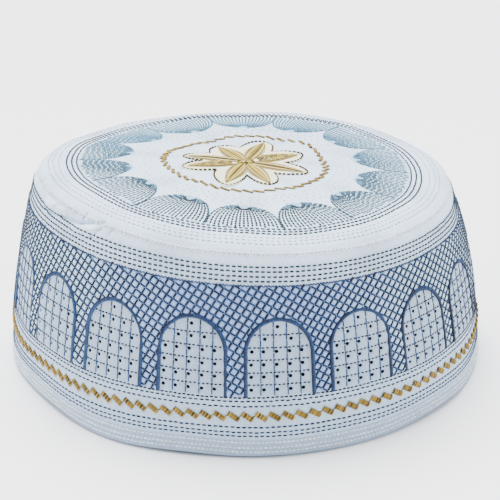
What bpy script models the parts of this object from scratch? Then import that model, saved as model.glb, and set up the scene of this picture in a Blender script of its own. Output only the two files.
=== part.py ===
"""Embroidered prayer cap: a flat crown with a rolled edge on a tall flared side band.

Metres, +Z up. The cap stands on its hem with the front towards -Y, and the origin is the middle
of the hem on the ground. Angles run round the cap from the front (0) towards +X (90 degrees).
Every piece is first made on a perfectly round cap, and worn_shape then moves its points to where
they lie on the real one, whose cloth is a little slack.
"""

import math
from collections import namedtuple

import bmesh
import bpy
from mathutils import Vector

# Cloth shell
HEM_RADIUS = 0.095
CLOTH = 0.0024
GAP = 0.0003
SEGMENTS = 72

# Side band: a straight flare with a slight belly, up to where the shoulder rolls over
FLARE = 0.1826
BELLY = 0.0026
BELLY_SPAN = 0.074
HEM_STAND = 0.0025
BAND_ROWS = 6

# Shoulder roll: part of an ellipse from the band over to the flat top
ROLL_RADIUS = 0.0728
ROLL_HEIGHT = 0.0666
ROLL_ACROSS = 0.01045
ROLL_UP = 0.0117
ROLL_START = math.radians(15)
ROLL_SEAM = math.radians(45)
ROLL_END = math.radians(90)
SEAM_TURN = math.radians(2.2)

# Crown: a low dome inside the roll
TOP_HEIGHT = ROLL_HEIGHT + ROLL_UP
DOME = 0.0028
CROWN_RINGS = 4
ROLL_STEPS = 2

# Arched windows of the side band
ARCHES = 18
ARCH_FIRST = math.radians(7.9)
ARCH_HALF_WIDTH = 0.0124
ARCH_FOOT = 0.0243
ARCH_SPRING = 0.0402
ARCH_BEND_POINTS = 9
WRAP_RADIUS = 0.0918
SATIN_WIDTH = 0.0017
SATIN_RISE = 0.0009

# Gold twist round the foot of the band
TWIST_COUNT = 118
TWIST_HEIGHT = 0.0160
TWIST_SLOPE = 0.0007
TWIST_HALF = 0.0009
TWIST_RISE = 0.0009
TWIST_STITCH_SHARE = 0.7

# Gold ring on the crown
RING_RADIUS = 0.0320
RING_COUNT = 44
RING_SLOPE = 0.0005
RING_HALF = 0.0007
RING_RISE = 0.0008
RING_DENT_ANGLE = math.radians(-128)
RING_DENT_SPREAD = math.radians(30)
RING_DENT = 0.0034

# Flower in the middle of the crown: tip angle and length of each petal
Petal = namedtuple("Petal", "angle length")
PETALS = (
    Petal(angle=-148, length=0.0210),
    Petal(angle=-100, length=0.0245),
    Petal(angle=-68, length=0.0258),
    Petal(angle=-17, length=0.0268),
    Petal(angle=24, length=0.0264),
    Petal(angle=70, length=0.0256),
    Petal(angle=116, length=0.0255),
    Petal(angle=160, length=0.0275),
)
PETAL_VALLEY = 0.0090
PETAL_POINTS = 4
PETAL_POWER = 1.1
FLOWER_EDGE_RISE = 0.0007
FLOWER_RISE = 0.0016

# Waves round the cap: how many, how large, and the angle of a crest
Wave = namedtuple("Wave", "count size crest")
PLAN_WAVES = (
    Wave(count=2, size=0.028, crest=82),
    Wave(count=3, size=0.022, crest=-5),
    Wave(count=4, size=0.007, crest=41),
)
TOP_WAVES = (
    Wave(count=1, size=0.0032, crest=-90),
    Wave(count=2, size=0.0016, crest=-43),
    Wave(count=3, size=0.0008, crest=49),
)
TOP_WAVE_POWER = 1.5

# Dents and lifted stretches of the lower band, in metres, with the angle they spread over
Place = namedtuple("Place", "angle spread size")
BULGES = (
    Place(angle=-56, spread=30, size=-0.0018),
    Place(angle=-32, spread=24, size=0.0010),
)
LIFTS = (
    Place(angle=-54, spread=20, size=0.0010),
    Place(angle=-14, spread=18, size=0.0008),
    Place(angle=50, spread=22, size=0.0009),
)
LOWER_BAND = 0.050

# Moves the worn cap so that the middle of its box stands over the origin
SHIFT_X = -0.00052
SHIFT_Y = 0.00198

# Colours, linear, with roughness
COTTON = (0.80, 0.82, 0.86, 1.0)
BLUE_SATIN = (0.06, 0.17, 0.42, 1.0)
GOLD_THREAD = (0.55, 0.36, 0.10, 1.0)


def clear_scene():
    for obj in list(bpy.data.objects):
        bpy.data.objects.remove(obj, do_unlink=True)


def collection_named(name):
    collection = bpy.data.collections.new(name)
    bpy.context.scene.collection.children.link(collection)
    return collection


def material(name, colour, roughness):
    made = bpy.data.materials.new(name)
    made.use_nodes = True
    shader = made.node_tree.nodes["Principled BSDF"]
    shader.inputs["Base Color"].default_value = colour
    shader.inputs["Roughness"].default_value = roughness
    shader.inputs["Metallic"].default_value = 0.0
    return made


def hump(angle, place):
    """Smooth hump of height 1 at a place, exactly 0 outside its spread."""
    away = math.remainder(angle - math.radians(place.angle), math.tau) / math.radians(place.spread)
    return math.cos(away * math.pi / 2) ** 2 if abs(away) < 1 else 0.0


def worn_shape(point):
    """Move a point of the round cap to its place on the real cap, keeping lengths round the cap."""
    radius = math.hypot(point.x, point.y)
    angle = math.atan2(point.x, -point.y)
    outward = min(radius / ROLL_RADIUS, 1.0)
    swell = 0.0
    turn = 0.0
    for wave in PLAN_WAVES:
        phase = wave.count * (angle - math.radians(wave.crest))
        swell += wave.size * math.cos(phase) * outward
        turn -= wave.size / wave.count * math.sin(phase) * outward
    rise = sum(wave.size * math.cos(wave.count * (angle - math.radians(wave.crest))) for wave in TOP_WAVES)
    rise *= outward * max(point.z / TOP_HEIGHT, 0.0) ** TOP_WAVE_POWER
    low = max(1 - max(point.z, 0.0) / LOWER_BAND, 0.0) ** 2 * outward
    bulge = sum(place.size * hump(angle, place) for place in BULGES) * low
    lift = sum(place.size * hump(angle, place) for place in LIFTS) * low
    new_radius = radius * (1 + swell) + bulge
    new_angle = angle + turn
    return Vector((
        new_radius * math.sin(new_angle) + SHIFT_X,
        -new_radius * math.cos(new_angle) + SHIFT_Y,
        point.z + rise + lift,
    ))


def band_radius(height):
    share = height / BELLY_SPAN
    return HEM_RADIUS - FLARE * height + 4 * BELLY * share * (1 - share)


def band_slope(height):
    """How fast the band leans inwards at a height."""
    return FLARE - 4 * BELLY / BELLY_SPAN * (1 - 2 * height / BELLY_SPAN)


def roll_point(turn):
    """Radius and height on the shoulder roll."""
    return (
        ROLL_RADIUS + ROLL_ACROSS * math.cos(turn),
        ROLL_HEIGHT + ROLL_UP * math.sin(turn),
    )


def crown_height(radius):
    return TOP_HEIGHT + DOME * (1 - (radius / ROLL_RADIUS) ** 2)


def round_point(radius, angle, height):
    return Vector((radius * math.sin(angle), -radius * math.cos(angle), height))


def on_band(angle, height, lift):
    """Point lifted off the outer face of the side band."""
    slope = band_slope(height)
    length = math.hypot(1.0, slope)
    radius = band_radius(height) + lift / length
    return worn_shape(round_point(radius, angle, height + lift * slope / length))


def on_crown(radius, angle, lift):
    """Point lifted off the outer face of the crown."""
    return worn_shape(round_point(radius, angle, crown_height(radius) + lift))


def mesh_object(name, mesh, paint, collection):
    mesh.name = name
    mesh.materials.clear()
    mesh.materials.append(paint)
    mesh.shade_smooth()
    mesh.set_sharp_from_angle(angle=math.radians(50))
    obj = bpy.data.objects.new(name, mesh)
    collection.objects.link(obj)
    return obj


def evaluated_mesh(obj):
    """Mesh of an object with its modifiers applied. The object itself is removed."""
    graph = bpy.context.evaluated_depsgraph_get()
    mesh = bpy.data.meshes.new_from_object(obj.evaluated_get(graph))
    bpy.data.objects.remove(obj, do_unlink=True)
    return mesh


def turned_shell(name, profile, paint, collection):
    """Cloth shell turned from an outer profile of (radius, height) pairs, inside to outside."""
    mesh = bpy.data.meshes.new(name)
    points = [(radius, 0.0, height) for radius, height in profile]
    mesh.from_pydata(points, [(i, i + 1) for i in range(len(points) - 1)], [])
    obj = bpy.data.objects.new(name, mesh)
    bpy.context.scene.collection.objects.link(obj)
    screw = obj.modifiers.new("turn", "SCREW")
    screw.axis = "Z"
    screw.steps = SEGMENTS
    screw.render_steps = SEGMENTS
    screw.use_merge_vertices = True
    screw.merge_threshold = 0.0001
    wall = obj.modifiers.new("cloth", "SOLIDIFY")
    wall.thickness = CLOTH
    wall.offset = -1.0
    wall.use_even_offset = True
    wall.use_quality_normals = True
    shell = evaluated_mesh(obj)
    for vertex in shell.vertices:
        vertex.co = worn_shape(vertex.co)
    return mesh_object(name, shell, paint, collection)


def side_band(paint, collection):
    """From the crown seam on the roll down to the hem, whose last stretch stands upright."""
    turns = (ROLL_SEAM - SEAM_TURN, ROLL_SEAM - 2 * SEAM_TURN, (ROLL_SEAM + ROLL_START) / 2, ROLL_START)
    profile = [roll_point(turn) for turn in turns]
    start = profile[-1][1]
    for row in range(1, BAND_ROWS + 1):
        height = start + (HEM_STAND - start) * row / BAND_ROWS
        profile.append((band_radius(height), height))
    profile.append((band_radius(HEM_STAND), 0.0))
    return turned_shell("side_band", profile, paint, collection)


def crown(paint, collection):
    """From the middle of the dome out over the roll to the seam with the side band."""
    profile = [
        (ROLL_RADIUS * ring / CROWN_RINGS, crown_height(ROLL_RADIUS * ring / CROWN_RINGS))
        for ring in range(CROWN_RINGS)
    ]
    seam_edge = ROLL_SEAM + SEAM_TURN
    for step in range(ROLL_STEPS + 1):
        turn = ROLL_END + (seam_edge - ROLL_END) * step / ROLL_STEPS
        profile.append(roll_point(turn))
    profile.append(roll_point(ROLL_SEAM))
    return turned_shell("crown", profile, paint, collection)


def arch_outline():
    """Centre line of one arch, flat: up one leg, round the top, down the other leg."""
    points = [(-ARCH_HALF_WIDTH, ARCH_FOOT), (-ARCH_HALF_WIDTH, (ARCH_FOOT + ARCH_SPRING) / 2)]
    for index in range(ARCH_BEND_POINTS):
        turn = math.pi - math.pi * index / (ARCH_BEND_POINTS - 1)
        points.append((
            ARCH_HALF_WIDTH * math.cos(turn),
            ARCH_SPRING + ARCH_HALF_WIDTH * math.sin(turn),
        ))
    points.append((ARCH_HALF_WIDTH, (ARCH_FOOT + ARCH_SPRING) / 2))
    points.append((ARCH_HALF_WIDTH, ARCH_FOOT))
    return points


def flat_arch_mesh():
    """Satin cord along the arch outline, lying flat in the XY plane."""
    outline = arch_outline()
    curve = bpy.data.curves.new("arch_line", "CURVE")
    curve.dimensions = "3D"
    curve.bevel_depth = SATIN_WIDTH / 2
    curve.bevel_resolution = 1
    curve.use_fill_caps = True
    spline = curve.splines.new("POLY")
    spline.points.add(len(outline) - 1)
    for point, (across, up) in zip(spline.points, outline):
        point.co = (across, up, 0.0, 1.0)
    obj = bpy.data.objects.new("arch_line", curve)
    bpy.context.scene.collection.objects.link(obj)
    mesh = evaluated_mesh(obj)
    bm = bmesh.new()
    bm.from_mesh(mesh)
    bmesh.ops.remove_doubles(bm, verts=bm.verts, dist=0.00001)
    bm.to_mesh(mesh)
    bm.free()
    return mesh


def satin_arches(paint, collection):
    flat = flat_arch_mesh()
    flatten = SATIN_RISE / SATIN_WIDTH
    for index in range(ARCHES):
        middle = ARCH_FIRST + math.tau * index / ARCHES
        mesh = flat.copy()
        for vertex in mesh.vertices:
            across, up, out = vertex.co
            lift = GAP + SATIN_RISE / 2 + out * flatten
            vertex.co = on_band(middle + across / WRAP_RADIUS, up, lift)
        mesh_object(f"satin_arch_{index + 1:02d}", mesh, paint, collection)
    bpy.data.meshes.remove(flat)


def loft_mesh(name, loops, ring):
    """Closed skin over loops of equal length: round in a ring, or capped at both ends."""
    bm = bmesh.new()
    rows = [[bm.verts.new(point) for point in loop] for loop in loops]
    count = len(rows[0])
    spans = len(rows) if ring else len(rows) - 1
    for row in range(spans):
        here = rows[row]
        there = rows[(row + 1) % len(rows)]
        for index in range(count):
            after = (index + 1) % count
            bm.faces.new((here[index], here[after], there[after], there[index]))
    if not ring:
        bm.faces.new(rows[0][::-1])
        bm.faces.new(rows[-1])
    bmesh.ops.recalc_face_normals(bm, faces=bm.faces)
    bmesh.ops.triangulate(bm, faces=bm.faces)
    mesh = bpy.data.meshes.new(name)
    bm.to_mesh(mesh)
    bm.free()
    return mesh


def gold_twist_band(paint, collection):
    """Line of slanted gold stitches: each slopes down, and the line steps up to the next."""
    loops = []
    for index in range(TWIST_COUNT):
        for share, slope in ((0.0, TWIST_SLOPE), (TWIST_STITCH_SHARE, -TWIST_SLOPE)):
            angle = math.tau * (index + share) / TWIST_COUNT
            low = TWIST_HEIGHT + slope - TWIST_HALF
            high = TWIST_HEIGHT + slope + TWIST_HALF
            loops.append([
                on_band(angle, low, GAP),
                on_band(angle, high, GAP),
                on_band(angle, high - TWIST_HALF / 2, GAP + TWIST_RISE),
                on_band(angle, low + TWIST_HALF / 2, GAP + TWIST_RISE),
            ])
    return mesh_object("gold_twist_band", loft_mesh("gold_twist_band", loops, True), paint, collection)


def ring_radius(angle):
    """The gold ring runs closer to the middle at the back left."""
    away = math.remainder(angle - RING_DENT_ANGLE, math.tau) / RING_DENT_SPREAD
    dent = math.cos(away * math.pi / 2) ** 2 if abs(away) < 1 else 0.0
    return RING_RADIUS - RING_DENT * dent


def gold_ring(paint, collection):
    """Ring of slanted gold stitches on the crown."""
    loops = []
    for index in range(RING_COUNT):
        for share, slope in ((0.0, RING_SLOPE), (TWIST_STITCH_SHARE, -RING_SLOPE)):
            angle = math.tau * (index + share) / RING_COUNT
            middle = ring_radius(angle) + slope
            loops.append([
                on_crown(middle - RING_HALF, angle, GAP),
                on_crown(middle + RING_HALF, angle, GAP),
                on_crown(middle + RING_HALF / 2, angle, GAP + RING_RISE),
                on_crown(middle - RING_HALF / 2, angle, GAP + RING_RISE),
            ])
    return mesh_object("gold_ring", loft_mesh("gold_ring", loops, True), paint, collection)


def flower_outline():
    """Angle and radius of the points round the petals, valley to tip to valley."""
    points = []
    for index, petal in enumerate(PETALS):
        tip = math.radians(petal.angle)
        before = math.radians(PETALS[index - 1].angle)
        after = math.radians(PETALS[(index + 1) % len(PETALS)].angle)
        half_before = math.remainder(tip - before, math.tau) / 2
        half_after = math.remainder(after - tip, math.tau) / 2
        for step in range(PETAL_POINTS):
            share = step / PETAL_POINTS
            reach = PETAL_VALLEY + (petal.length - PETAL_VALLEY) * share ** PETAL_POWER
            points.append((tip - half_before * (1 - share), reach))
        for step in range(PETAL_POINTS):
            share = 1 - step / PETAL_POINTS
            reach = PETAL_VALLEY + (petal.length - PETAL_VALLEY) * share ** PETAL_POWER
            points.append((tip + half_after * (1 - share), reach))
    return points


def flower(paint, collection):
    """Raised medallion of eight petals, highest in the middle."""
    outline = flower_outline()
    levels = (
        (1.00, GAP),
        (1.00, GAP + FLOWER_EDGE_RISE / 2),
        (0.85, GAP + FLOWER_EDGE_RISE),
        (0.30, GAP + FLOWER_RISE),
    )
    loops = [[on_crown(reach * share, angle, lift) for angle, reach in outline] for share, lift in levels]
    return mesh_object("flower", loft_mesh("flower", loops, False), paint, collection)


def build_cap():
    clear_scene()
    cap = collection_named("prayer_cap")
    cotton_top = material("white_cotton_crown", COTTON, 0.9)
    cotton_side = material("white_cotton_band", COTTON, 0.9)
    side_band(cotton_side, cap)
    crown(cotton_top, cap)
    satin_arches(material("blue_satin_thread", BLUE_SATIN, 0.45), cap)
    gold_twist_band(material("gold_thread_twist", GOLD_THREAD, 0.5), cap)
    gold_ring(material("gold_thread_ring", GOLD_THREAD, 0.5), cap)
    flower(material("gold_thread_flower", GOLD_THREAD, 0.5), cap)


build_cap()
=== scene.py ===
"""Looks of the embroidered prayer cap: quilted cloth, running stitches, satin arches and gold thread.

Metres, +Z up, the front towards -Y. A place on the cap is an angle and a run. Angles go round from
the front (0) towards +X (90 degrees). The run is the length along the outer profile: from the hem up
the side band, over the shoulder roll and in to the middle of the top. Everything is laid out on a
perfectly round cap, and worn_shape moves it to where it lies on the real one, as in the solids.
"""

import math
from collections import namedtuple

import bpy
import numpy as np
from mathutils import Matrix, Vector, geometry


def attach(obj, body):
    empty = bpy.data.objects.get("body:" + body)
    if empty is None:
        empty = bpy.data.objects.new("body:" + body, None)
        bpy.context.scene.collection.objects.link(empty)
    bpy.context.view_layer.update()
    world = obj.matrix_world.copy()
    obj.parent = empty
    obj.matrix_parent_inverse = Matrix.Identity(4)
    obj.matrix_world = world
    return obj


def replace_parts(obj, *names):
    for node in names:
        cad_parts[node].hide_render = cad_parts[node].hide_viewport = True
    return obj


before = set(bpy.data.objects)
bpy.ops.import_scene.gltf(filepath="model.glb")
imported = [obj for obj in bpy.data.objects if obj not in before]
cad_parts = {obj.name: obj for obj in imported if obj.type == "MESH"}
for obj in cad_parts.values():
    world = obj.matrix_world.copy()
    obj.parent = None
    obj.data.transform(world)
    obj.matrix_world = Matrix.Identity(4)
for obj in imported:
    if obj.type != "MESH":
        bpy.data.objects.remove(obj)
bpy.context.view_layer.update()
rng = np.random.default_rng(21)

MM = 0.001

# Cloth shell and its profile, with the sizes of the solids
HEM_RADIUS = 95.0 * MM
CLOTH = 2.4 * MM
FLARE = 0.1826
BELLY = 2.6 * MM
BELLY_SPAN = 74.0 * MM
HEM_STAND = 2.5 * MM
ROLL_RADIUS = 72.8 * MM
ROLL_HEIGHT = 66.6 * MM
ROLL_ACROSS = 10.45 * MM
ROLL_UP = 11.7 * MM
ROLL_START = math.radians(15)
ROLL_SEAM = math.radians(45)
TOP_HEIGHT = ROLL_HEIGHT + ROLL_UP
DOME = 2.8 * MM

# Waves, dents and lifts of the worn cap, as in the solids
Wave = namedtuple("Wave", "count size crest")
PLAN_WAVES = (
    Wave(count=2, size=0.028, crest=82),
    Wave(count=3, size=0.022, crest=-5),
    Wave(count=4, size=0.007, crest=41),
)
TOP_WAVES = (
    Wave(count=1, size=3.2 * MM, crest=-90),
    Wave(count=2, size=1.6 * MM, crest=-43),
    Wave(count=3, size=0.8 * MM, crest=49),
)
TOP_WAVE_POWER = 1.5
Place = namedtuple("Place", "angle spread size")
BULGES = (
    Place(angle=-56, spread=30, size=-1.8 * MM),
    Place(angle=-32, spread=24, size=1.0 * MM),
)
LIFTS = (
    Place(angle=-54, spread=20, size=1.0 * MM),
    Place(angle=-14, spread=18, size=0.8 * MM),
    Place(angle=50, spread=22, size=0.9 * MM),
)
LOWER_BAND = 50.0 * MM
SHIFT_X = -0.52 * MM
SHIFT_Y = 1.98 * MM


def stacked(*parts):
    """Arrays side by side along a new last axis."""
    return np.stack(parts, axis=-1)


def wrapped(angle):
    """The same angle, between half a turn left and half a turn right of the front."""
    return np.mod(angle + math.pi, math.tau) - math.pi


def hump(angle, place):
    """Smooth hump of height 1 at a place, exactly 0 outside its spread."""
    away = wrapped(angle - math.radians(place.angle))
    return np.cos(np.clip(away / math.radians(place.spread), -1, 1) * math.pi / 2) ** 2


def worn_shape(radius, angle, height):
    """Where a point of the round cap lies on the real one."""
    outward = np.minimum(radius / ROLL_RADIUS, 1.0)
    phases = [wave.count * (angle - math.radians(wave.crest)) for wave in PLAN_WAVES]
    swell = sum(wave.size * np.cos(phase) for wave, phase in zip(PLAN_WAVES, phases)) * outward
    turn = sum(wave.size / wave.count * np.sin(phase) for wave, phase in zip(PLAN_WAVES, phases)) * outward
    rise = sum(wave.size * np.cos(wave.count * (angle - math.radians(wave.crest))) for wave in TOP_WAVES)
    rise = rise * outward * np.maximum(height / TOP_HEIGHT, 0) ** TOP_WAVE_POWER
    low = np.maximum(1 - np.maximum(height, 0) / LOWER_BAND, 0) ** 2 * outward
    bulge = sum(place.size * hump(angle, place) for place in BULGES) * low
    lift = sum(place.size * hump(angle, place) for place in LIFTS) * low
    radius = radius * (1 + swell) + bulge
    angle = angle - turn
    return stacked(
        radius * np.sin(angle) + SHIFT_X,
        SHIFT_Y - radius * np.cos(angle),
        height + rise + lift,
    )


def outer_profile():
    """Run, radius, height and outward direction at close steps from the hem to the middle of the top."""
    height = np.linspace(0, ROLL_HEIGHT + ROLL_UP * math.sin(ROLL_START), 300)
    share = np.maximum(height, HEM_STAND) / BELLY_SPAN
    radius = HEM_RADIUS - FLARE * share * BELLY_SPAN + 4 * BELLY * share * (1 - share)
    turn = np.linspace(ROLL_START, math.pi / 2, 200)[1:]
    inner = np.linspace(ROLL_RADIUS, 0, 300)[1:]
    radius = np.concatenate([radius, ROLL_RADIUS + ROLL_ACROSS * np.cos(turn), inner])
    dome = TOP_HEIGHT + DOME * (1 - (inner / ROLL_RADIUS) ** 2)
    height = np.concatenate([height, ROLL_HEIGHT + ROLL_UP * np.sin(turn), dome])
    steps = np.hypot(np.diff(radius), np.diff(height))
    run = np.concatenate([[0], np.cumsum(steps)])
    lean_in = np.gradient(radius, run)
    climb = np.gradient(height, run)
    length = np.hypot(lean_in, climb)
    return run, radius, height, climb / length, -lean_in / length


RUN, RADIUS, HEIGHT, OUT_ACROSS, OUT_UP = outer_profile()
MIDDLE_RUN = RUN[-1]


def cap_surface(angle, run, lift=0.0):
    """Point at a place on the cap, lifted off its plain outer face."""
    radius = np.interp(run, RUN, RADIUS) + lift * np.interp(run, RUN, OUT_ACROSS)
    height = np.interp(run, RUN, HEIGHT) + lift * np.interp(run, RUN, OUT_UP)
    return worn_shape(np.maximum(radius, 0), angle, height)


def radius_at(run):
    return np.interp(run, RUN, RADIUS)


def run_at_radius(radius):
    return np.interp(radius, RADIUS[::-1], RUN[::-1])


def run_at_height(height):
    return np.interp(height, HEIGHT, RUN)


SEAM_RUN = run_at_radius(ROLL_RADIUS + ROLL_ACROSS * math.cos(ROLL_SEAM))

# Arched windows: as in the solids, an arch is laid out by its height and by lengths across it
ARCHES = 18
ARCH_PITCH = math.tau / ARCHES
ARCH_FIRST = math.radians(7.9)
ARCH_HALF_WIDTH = 12.4 * MM
ARCH_FOOT = 24.3 * MM
ARCH_SPRING = 40.2 * MM
WRAP_RADIUS = 91.8 * MM
FLAT_RADIUS = 88.0 * MM
FLAT = np.array([FLAT_RADIUS, 1])
SATIN_WIDTH = 1.7 * MM
BACK_SEAM = ARCH_FIRST + ARCH_PITCH * (ARCHES // 2 - 0.5)
STRIP = (BACK_SEAM - math.tau, BACK_SEAM)

# Window grid: lines and eyelets by their offset from the middle of the arch and by their run
GRID_ROWS = (28.6 * MM, 33.2 * MM, 38.0 * MM, 42.6 * MM, 47.4 * MM)
GRID_COLUMNS = (-4.3, -1.25, 1.8, 4.75)
EYELET_RADIUS = 0.72 * MM
EyeletRow = namedtuple("EyeletRow", "run offsets")
EYELET_ROWS = (
    EyeletRow(run=26.8 * MM, offsets=(-6.5, -3.65, -0.65, 2.4, 5.3)),
    EyeletRow(run=31.7 * MM, offsets=(-6.5, -3.65, -0.65, 2.4, 5.3)),
    EyeletRow(run=36.3 * MM, offsets=(-6.5, -3.65, -0.65, 2.4, 5.3)),
    EyeletRow(run=41.2 * MM, offsets=(-6.3, -3.65, -0.65, 2.4, 5.2)),
    EyeletRow(run=45.9 * MM, offsets=(-3.3, -0.3, 2.8)),
    EyeletRow(run=50.5 * MM, offsets=(-0.3,)),
)
PAIR_ROW = EYELET_ROWS[4]
PAIR_ARCHES = (0, 1)

# Trellis: two sets of straight lines on the flat cloth of the band, pulled a little by the sewing
TRELLIS_LOW = 24.3 * MM
TRELLIS_TOP = 65.3 * MM
TRELLIS_TURN = 0.22
TRELLIS_RUN = 60.0 * MM
TRELLIS_RADIUS = 86.2 * MM
LineSet = namedtuple("LineSet", "spacing lean start")
RISING_LINES = LineSet(spacing=2.59 * MM, lean=math.radians(-32.4), start=0.30)
FALLING_LINES = LineSet(spacing=2.66 * MM, lean=math.radians(61.5), start=-0.07)
Pull = namedtuple("Pull", "angle rising rising_tilt falling falling_tilt", defaults=(0, 0, 0, 0))
PULLS = (
    Pull(angle=-100, rising=0.9),
    Pull(angle=-60, rising=0.9, rising_tilt=-0.24),
    Pull(angle=-36, rising=0.2, rising_tilt=-0.18),
    Pull(angle=-16),
    Pull(angle=11),
    Pull(angle=23, rising=0.2, rising_tilt=-0.46),
    Pull(angle=32, rising=0.2, rising_tilt=-0.54, falling_tilt=-0.12),
    Pull(angle=48, rising=-0.2, rising_tilt=-0.60, falling=-0.7, falling_tilt=-0.30),
    Pull(angle=66, rising=-0.7, rising_tilt=-0.60, falling=-1.5, falling_tilt=-0.36),
    Pull(angle=110, rising=-0.7, falling=-1.5),
)
PULL_REACH = 12.0 * MM
PULL_STEPS = 6

# Fans of stitches on the top. The middle lines end early and leave a notch
FANS = 14
FAN_BASE = 65.3 * MM
FAN_HALF = 14.0 * MM
FAN_LENGTH = 20.4 * MM
FAN_LINES = 19
FAN_END = math.radians(78)
NOTCH_ENDS = {line: math.radians(end) for line, end in enumerate((62, 63, 67, 71, 75))}
FAN_TAPER = 0.7

# Their stitches: ranges of start, end and length in mm, and where sky blue begins
FAN_STARTS = (0.01, 0.10)
FAN_ENDS = (0.93, 1.0)
FAN_PITCHES = (2.0, 2.4)
SKY_OUTER_LINES = 0.80
SKY_INNER_LINES = 0.97

# The stitches get longer and paler from the front to the sides
FAN_SHARE = 0.84
FAN_SIDE_SHARE = 1.06
FAN_SIDE = math.radians(70)
FAN_FADE = math.radians(130)
FAN_FADE_MOST = 0.9
FAN_FADE_POWER = 1.5

# Rings of running stitches: place, stitch length and thickness
Ring = namedtuple("Ring", "run pitch share thickness thread")


def alike_rings(thread, pitch, share, thickness, runs=(), radii=()):
    """Rings at some runs, or at some radii of the top. All lengths here are in mm."""
    places = [run * MM for run in runs] + [run_at_radius(radius * MM) for radius in radii]
    return [Ring(run, pitch * MM, share, thickness * MM, thread) for run in places]


RINGS = (
    alike_rings("white", 1.6, 0.80, 0.66, runs=(2.3, 4.0, 6.1))
    + alike_rings("indigo", 2.1, 0.82, 0.56, runs=(8.6, 10.1))
    + alike_rings("indigo", 2.1, 0.82, 0.62, runs=(12.1,))
    + alike_rings("navy", 2.1, 0.80, 0.56, runs=(20.3, 22.3))
    + alike_rings("navy", 1.7, 0.86, 0.64, runs=(23.7,))
    + alike_rings("teal", 2.08, 0.82, 0.70, runs=(67.0, 68.7, 70.5, 72.2))
    + alike_rings("grey", 2.1, 0.66, 0.44, radii=(76.6, 74.8, 72.6))
    + alike_rings("teal", 1.98, 0.86, 0.78, radii=(69.5, 67.5, 65.6))
    + alike_rings("grey", 3.1, 0.34, 0.34, radii=(44.4,))
    + alike_rings("grey", 3.3, 0.34, 0.34, radii=(41.9,))
    + alike_rings("grey", 3.0, 0.34, 0.34, radii=(39.3,))
    + alike_rings("grey", 3.2, 0.34, 0.34, radii=(36.8,))
)
RING_PIECES = {
    "hem_stitches": "white",
    "band_rows": "indigo",
    "foot_row": "navy",
    "top_rows": "teal",
    "quilting_rows": "grey",
}

# Gold twist round the foot of the band
TWIST_COUNT = 118
TWIST_RUN = 16.4 * MM
TWIST_START = 0.15
LINK_ACROSS = np.array([2.0, 2.2, 2.7, 2.9]) * MM
LINK_UP = np.array([0.0, 0.05, 0.2, 0.25]) * MM

# Gold ring on the top
RING_RADIUS = 31.7 * MM
RING_COUNT = 46
RING_START = 0.35
RING_BENDS = (
    Place(angle=-142, spread=34, size=-2.8 * MM),
    Place(angle=132, spread=30, size=2.6 * MM),
    Place(angle=76, spread=34, size=1.2 * MM),
)

# Slanted bars of gold thread: size, slant, and how many threads lie across one
Bar = namedtuple("Bar", "length width slant threads rise")
TWIST_BAR = Bar(length=4.9 * MM, width=2.15 * MM, slant=math.radians(-33.5), threads=8, rise=0.66 * MM)
RING_BAR = Bar(length=4.5 * MM, width=1.35 * MM, slant=math.radians(-26), threads=9, rise=0.42 * MM)

# Flower in the middle of the top: tip angle and length of each petal, and what runs up its middle
Petal = namedtuple("Petal", "angle length middle")
PETALS = (
    Petal(angle=-150, length=21.6 * MM, middle="gold"),
    Petal(angle=-101, length=24.6 * MM, middle="vein"),
    Petal(angle=-66, length=26.4 * MM, middle="rows"),
    Petal(angle=-15, length=27.8 * MM, middle="gold"),
    Petal(angle=24, length=27.0 * MM, middle="amber"),
    Petal(angle=69, length=27.2 * MM, middle="vein"),
    Petal(angle=115, length=26.2 * MM, middle="rows"),
    Petal(angle=159, length=25.6 * MM, middle="gold"),
)
FLOWER_MIDDLE = np.array([0.9, 1.5]) * MM
PETAL_VALLEY = 16.6 * MM
PETAL_ROUND = 1.6
PETAL_INSET = 1.4 * MM
PETAL_FULLNESS = 0.85
PETAL_EDGE = 2.7 * MM
PETAL_OUTER = 3.5 * MM
Strands = namedtuple("Strands", "reach count half_width")
MIDDLE_STRANDS = {
    "gold": Strands(reach=0.85 * MM, count=5, half_width=0.26 * MM),
    "amber": Strands(reach=1.25 * MM, count=7, half_width=0.26 * MM),
    "vein": Strands(reach=0.60 * MM, count=3, half_width=0.55 * MM),
    "rows": Strands(reach=2.5 * MM, count=7, half_width=0.24 * MM),
}
PETAL_FILL = (1.3 * MM, 1.75 * MM, 2.2 * MM)

# How deep stitches draw the quilted cloth in, and how far it stands out between them
ROW_DEPTH = 0.18 * MM
ROW_HALF_WIDTH = 0.55 * MM
TRELLIS_PUFF = 0.42 * MM
WINDOW_PUFF = 0.30 * MM
FAN_PUFF = 0.16 * MM
DIAMOND_ROUND = 0.6
GRID_GROOVE = 0.9 * MM


def arch_offset(angle):
    """Angle from the middle of the nearest arch."""
    return np.mod(angle - ARCH_FIRST + ARCH_PITCH / 2, ARCH_PITCH) - ARCH_PITCH / 2


def outside_arch(angle, run):
    """Distance outwards from the middle line of the nearest satin arch, negative inside the window."""
    across = arch_offset(angle) * WRAP_RADIUS
    above = np.maximum(np.interp(run, RUN, HEIGHT) - ARCH_SPRING, 0)
    return np.hypot(across, above) - ARCH_HALF_WIDTH


def trellis_pull(angle, run):
    """How far the sewing pulled each set of lines at a place, in lines."""
    tilt = np.tanh((run - TRELLIS_RUN) / PULL_REACH)
    at = np.degrees(angle)
    angle_at, rising, rising_tilt, falling, falling_tilt = np.array(PULLS).T
    return [
        np.interp(at, angle_at, whole) + np.interp(at, angle_at, part) * tilt
        for whole, part in ((rising, rising_tilt), (falling, falling_tilt))
    ]


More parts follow.
